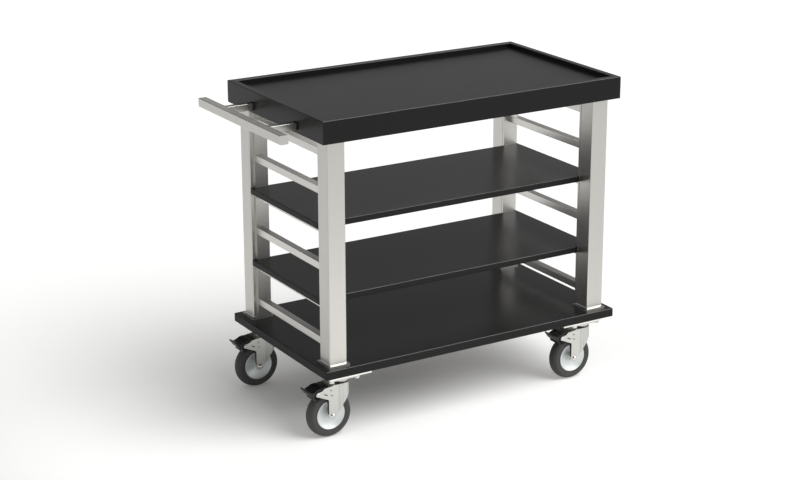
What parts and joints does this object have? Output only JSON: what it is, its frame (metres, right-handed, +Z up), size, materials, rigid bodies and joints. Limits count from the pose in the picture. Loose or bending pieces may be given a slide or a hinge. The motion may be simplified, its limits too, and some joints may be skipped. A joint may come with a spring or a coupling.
{
  "type": "serving trolley",
  "caption": "Serving trolley with a sunk tray top, drop-on shelves on ladder rungs between square steel posts, a push handle and braked swivel castors.",
  "frame": {"origin": "on the floor under the middle of the whole trolley, push handle included", "axes": "+X along the long side away from the push handle, +Y across to the rear long side, +Z up"},
  "size_m": [1.0004, 0.512, 0.8485],
  "materials": {
    "board": "satin charcoal laminate on board",
    "frame_steel": "fine vertical brushing, satin",
    "handle_steel": "satin brushing along the bar",
    "pad_metal": "bright milled",
    "castor_zinc": "bright zinc plate",
    "fastener_zinc": "bright zinc plate",
    "rim_plastic": "satin grey moulding",
    "tyre_rubber": "matt dark grey rubber",
    "pedal_plastic": "satin black moulding"
  },
  "bodies": {
    "frame": {"base_board": "board", "castor_bolts": "fastener_zinc", "castor_kingpins": "fastener_zinc", "castor_pads": "pad_metal", "frame_bolts": "fastener_zinc", "front_left_castor_plate": "castor_zinc", "front_left_post": "frame_steel", "front_right_castor_plate": "castor_zinc", "front_right_post": "frame_steel", "handle_arms": "handle_steel", "handle_backing_plate": "handle_steel", "handle_bar": "handle_steel", "handle_end_caps": "handle_steel", "ladder_stiles": "frame_steel", "left_rung_1": "frame_steel", "left_rung_2": "frame_steel", "left_rung_3": "frame_steel", "left_rung_4": "frame_steel", "left_rung_5": "frame_steel", "left_rung_6": "frame_steel", "lower_shelf": "board", "post_foot_plates": "frame_steel", "post_top_plates": "frame_steel", "rear_left_castor_plate": "castor_zinc", "rear_left_post": "frame_steel", "rear_right_castor_plate": "castor_zinc", "rear_right_post": "frame_steel", "right_rung_1": "frame_steel", "right_rung_2": "frame_steel", "right_rung_3": "frame_steel", "right_rung_4": "frame_steel", "right_rung_5": "frame_steel", "right_rung_6": "frame_steel", "tray_front_apron": "board", "tray_left_apron": "board", "tray_panel": "board", "tray_rear_apron": "board", "tray_right_apron": "board", "tray_screws": "fastener_zinc", "upper_shelf": "board"},
    "front_left_swivel": {"front_left_castor_fork": "castor_zinc", "front_left_castor_axle": "fastener_zinc"},
    "front_left_wheel": {"front_left_castor_rim": "rim_plastic", "front_left_castor_tyre": "tyre_rubber"},
    "front_left_brake": {"front_left_castor_pedal": "pedal_plastic"},
    "front_right_swivel": {"front_right_castor_fork": "castor_zinc", "front_right_castor_axle": "fastener_zinc"},
    "front_right_wheel": {"front_right_castor_rim": "rim_plastic", "front_right_castor_tyre": "tyre_rubber"},
    "front_right_brake": {"front_right_castor_pedal": "pedal_plastic"},
    "rear_left_swivel": {"rear_left_castor_fork": "castor_zinc", "rear_left_castor_axle": "fastener_zinc"},
    "rear_left_wheel": {"rear_left_castor_rim": "rim_plastic", "rear_left_castor_tyre": "tyre_rubber"},
    "rear_left_brake": {"rear_left_castor_pedal": "pedal_plastic"},
    "rear_right_swivel": {"rear_right_castor_fork": "castor_zinc", "rear_right_castor_axle": "fastener_zinc"},
    "rear_right_wheel": {"rear_right_castor_rim": "rim_plastic", "rear_right_castor_tyre": "tyre_rubber"},
    "rear_right_brake": {"rear_right_castor_pedal": "pedal_plastic"}
  },
  "joints": [
    {"name": "front_left_swivel_turn", "type": "hinge", "parent": "frame", "child": "front_left_swivel", "pos_m": [-0.33075, -0.2005, 0.1455], "axis": [0, 0, 1], "continuous": true},
    {"name": "front_left_wheel_roll", "type": "hinge", "parent": "front_left_swivel", "child": "front_left_wheel", "pos_m": [-0.36575, -0.2005, 0.0625], "axis": [0, 1, 0], "continuous": true},
    {"name": "front_left_brake_press", "type": "hinge", "parent": "front_left_swivel", "child": "front_left_brake", "pos_m": [-0.40725, -0.2005, 0.128], "axis": [0, -1, 0], "range_deg": [0, 12]},
    {"name": "front_right_swivel_turn", "type": "hinge", "parent": "frame", "child": "front_right_swivel", "pos_m": [0.43125, -0.2005, 0.1455], "axis": [0, 0, 1], "continuous": true},
    {"name": "front_right_wheel_roll", "type": "hinge", "parent": "front_right_swivel", "child": "front_right_wheel", "pos_m": [0.39625, -0.2005, 0.0625], "axis": [0, 1, 0], "continuous": true},
    {"name": "front_right_brake_press", "type": "hinge", "parent": "front_right_swivel", "child": "front_right_brake", "pos_m": [0.35475, -0.2005, 0.128], "axis": [0, -1, 0], "range_deg": [0, 12]},
    {"name": "rear_left_swivel_turn", "type": "hinge", "parent": "frame", "child": "rear_left_swivel", "pos_m": [-0.33075, 0.2005, 0.1455], "axis": [0, 0, 1], "continuous": true},
    {"name": "rear_left_wheel_roll", "type": "hinge", "parent": "rear_left_swivel", "child": "rear_left_wheel", "pos_m": [-0.36575, 0.2005, 0.0625], "axis": [0, 1, 0], "continuous": true},
    {"name": "rear_left_brake_press", "type": "hinge", "parent": "rear_left_swivel", "child": "rear_left_brake", "pos_m": [-0.40725, 0.2005, 0.128], "axis": [0, -1, 0], "range_deg": [0, 12]},
    {"name": "rear_right_swivel_turn", "type": "hinge", "parent": "frame", "child": "rear_right_swivel", "pos_m": [0.43125, 0.2005, 0.1455], "axis": [0, 0, 1], "continuous": true},
    {"name": "rear_right_wheel_roll", "type": "hinge", "parent": "rear_right_swivel", "child": "rear_right_wheel", "pos_m": [0.39625, 0.2005, 0.0625], "axis": [0, 1, 0], "continuous": true},
    {"name": "rear_right_brake_press", "type": "hinge", "parent": "rear_right_swivel", "child": "rear_right_brake", "pos_m": [0.35475, 0.2005, 0.128], "axis": [0, -1, 0], "range_deg": [0, 12]}
  ]
}
